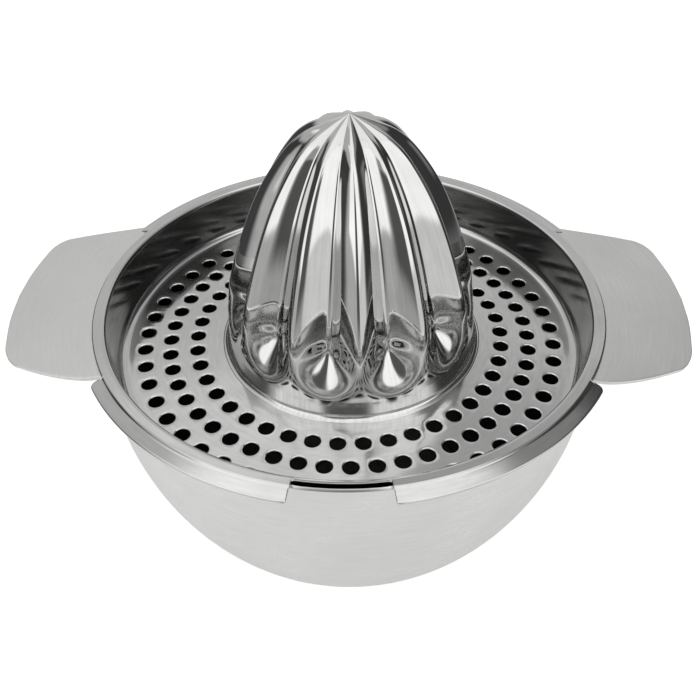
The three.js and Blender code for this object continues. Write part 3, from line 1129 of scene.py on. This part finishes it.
def make_floor():
    """One wide square, a hair under the bowl."""
    mesh = bpy.data.meshes.new("floor")
    size, low = floor_half_size, -floor_drop * MM
    corners = [(-size, -size, low), (size, -size, low), (size, size, low), (-size, size, low)]
    mesh.from_pydata(corners, [], [(0, 1, 2, 3)])
    floor = bpy.data.objects.new("floor", mesh)
    bpy.context.collection.objects.link(floor)
    mesh.materials.append(floor_paint())
    return floor


floor = make_floor()
print("the %s is %.0f m wide" % (floor.name, 2 * floor_half_size))

# %% [markdown]
# ## The room and its light
# Polished steel looks like steel only when it has something to mirror: soft boxes that are white,
# and dark room between them. Lamps and real panels could do this, but each would also have to be
# hidden from the lens. The world does it all here: a grey room on which each panel lays its own
# brightness. Every panel is a middle azimuth and a half width, then an elevation and a half
# height, then the softness of its edge, all in degrees, and a brightness where 1 is white.

# %% Studio panels
room_tone = 0.5
panels = [
    ("top", 0, 180, 90, 30, 5, 1.1),
    ("dark under the table's edge", 0, 180, -30, 22, 5, 0.3),
    ("back wall", 97, 42, 8, 37, 5, 0.56),
    ("upper back left", 115, 20, 51, 8, 4, 0.8),
    ("upper back right", 64, 32, 51, 8, 4, 0.42),
    ("upper left", 177, 22, 58, 7, 3, 1.0),
    ("dark room right", 22, 32, 16, 32, 5, 0.045),
    ("gap in the dark", 15, 7, 12, 9, 4, 0.2),
    ("shade over the right", 25, 34, 54, 9, 4, 0.26),
    ("dark room left", 160, 33, 1, 24, 4, 0.06),
    ("dark stand left", 176, 18, 28, 9, 3, 0.05),
    ("front ceiling", 270, 76, 57, 12, 4, 1.1),
    ("left soft box", 224, 23, 32, 29, 3, 1.2),
    ("right soft box", 317, 28, 32, 30, 3, 1.2),
    ("light under the left box", 222, 26, -14, 17, 4, 0.5),
    ("light under the right box", 317, 30, -14, 17, 4, 0.74),
    ("table under the front", 267, 22, -16, 15, 5, 0.42),
    ("dark front", 267, 19, 18, 24, 5, 0.1),
    ("grey over the front", 256, 10, 50, 9, 4, 0.36),
]
print("the room has", len(panels), "panels")

# %% World
environment_width = 1024


def lay_panels(tree, azimuth, elevation):
    """The room's tone with all panels laid over it in turn. A panel's mask is the product of two
    soft steps, one down from 1 to 0 at its half width and one at its half height."""
    tone = room_tone
    for name, middle, half_width, height, half_height, softness, brightness in panels:
        turn = add(tree, "ShaderNodeMath", {"operation": "SUBTRACT"}, i0=azimuth,
                   i1=math.radians(middle))
        aside = add(tree, "ShaderNodeMath", {"operation": "PINGPONG"}, i0=turn.outputs[0],
                    i1=math.pi)
        rise = add(tree, "ShaderNodeMath", {"operation": "SUBTRACT"}, i0=elevation,
                   i1=math.radians(height))
        above = add(tree, "ShaderNodeMath", {"operation": "ABSOLUTE"}, i0=rise.outputs[0])
        steps = [add(tree, "ShaderNodeMapRange", {"interpolation_type": "SMOOTHSTEP"},
                     Value=distance.outputs[0], From_Min=math.radians(half - softness),
                     From_Max=math.radians(half + softness), To_Min=1.0, To_Max=0.0)
                 for distance, half in ((aside, half_width), (above, half_height))]
        mask = add(tree, "ShaderNodeMath", {"operation": "MULTIPLY", "label": name},
                   i0=steps[0].outputs[0], i1=steps[1].outputs[0])
        tone = add(tree, "ShaderNodeMix", {"data_type": "FLOAT"}, i0=mask.outputs[0], i2=tone,
                   i3=brightness).outputs[0]
    return tone


def make_world():
    """The room round the juicer. A ray's direction gives its azimuth and its elevation, and these
    give its tone. The lens sees plain white behind the juicer."""
    world = bpy.data.worlds.new("studio")
    bpy.context.scene.world = world
    world.use_nodes = True
    tree = world.node_tree
    tree.nodes.clear()
    way = add(tree, "ShaderNodeTexCoord").outputs["Generated"]
    xyz = add(tree, "ShaderNodeSeparateXYZ", Vector=way)
    azimuth = add(tree, "ShaderNodeMath", {"operation": "ARCTAN2"}, i0=xyz.outputs[1],
                  i1=xyz.outputs[0])
    elevation = add(tree, "ShaderNodeMath", {"operation": "ARCSINE"}, i0=xyz.outputs[2])
    tone = lay_panels(tree, azimuth.outputs[0], elevation.outputs[0])
    path = add(tree, "ShaderNodeLightPath")
    shown = add(tree, "ShaderNodeMix", {"data_type": "FLOAT"}, i0=path.outputs["Is Camera Ray"],
                i2=tone, i3=1.0)
    background = add(tree, "ShaderNodeBackground", Color=shown.outputs[0], Strength=1.0)
    add(tree, "ShaderNodeOutputWorld", Surface=background.outputs[0])
    world.cycles.sampling_method = "MANUAL"
    world.cycles.sample_map_resolution = environment_width
    return world


world = make_world()
print("the world is named", world.name)

# %% [markdown]
# ## The camera
# A camera could be turned by eye until it looks right. This one was fitted: the three rows of
# holes are circles on a flat plate, and their ellipses in the picture give the direction, the
# distance and the focal length. The lens is in pixels first, because that is how a fit gives it.

# %% Camera
photo_width = 700
focal_pixels = 765.4
camera_azimuth = math.radians(-88.3)
camera_elevation = math.radians(41.77)
camera_distance = 210.9
camera_roll = math.radians(-0.78)
aim = np.array([0.43, -8.57, plate_top])


def make_camera():
    """A camera at a distance from the point that it aims at, seen from there at an azimuth and an
    elevation. The roll turns it about its own axis."""
    flat = math.cos(camera_elevation)
    away = np.array([flat * math.cos(camera_azimuth), flat * math.sin(camera_azimuth),
                     math.sin(camera_elevation)])
    right = np.cross(-away, [0, 0, 1])
    right = right / np.linalg.norm(right)
    up = np.cross(right, -away)
    matrix = np.eye(4)
    matrix[:3, 0] = right * math.cos(camera_roll) + up * math.sin(camera_roll)
    matrix[:3, 1] = up * math.cos(camera_roll) - right * math.sin(camera_roll)
    matrix[:3, 2] = away
    matrix[:3, 3] = (aim + camera_distance * away) * MM
    data = bpy.data.cameras.new("camera")
    data.sensor_width = 36
    data.lens = focal_pixels / photo_width * data.sensor_width
    data.clip_start = 0.01
    camera = bpy.data.objects.new("camera", data)
    bpy.context.collection.objects.link(camera)
    camera.matrix_world = Matrix(matrix.tolist())
    bpy.context.scene.camera = camera
    return camera


camera = make_camera()
bpy.context.scene.view_settings.view_transform = "Standard"
print("the lens is %.1f mm" % camera.data.lens)
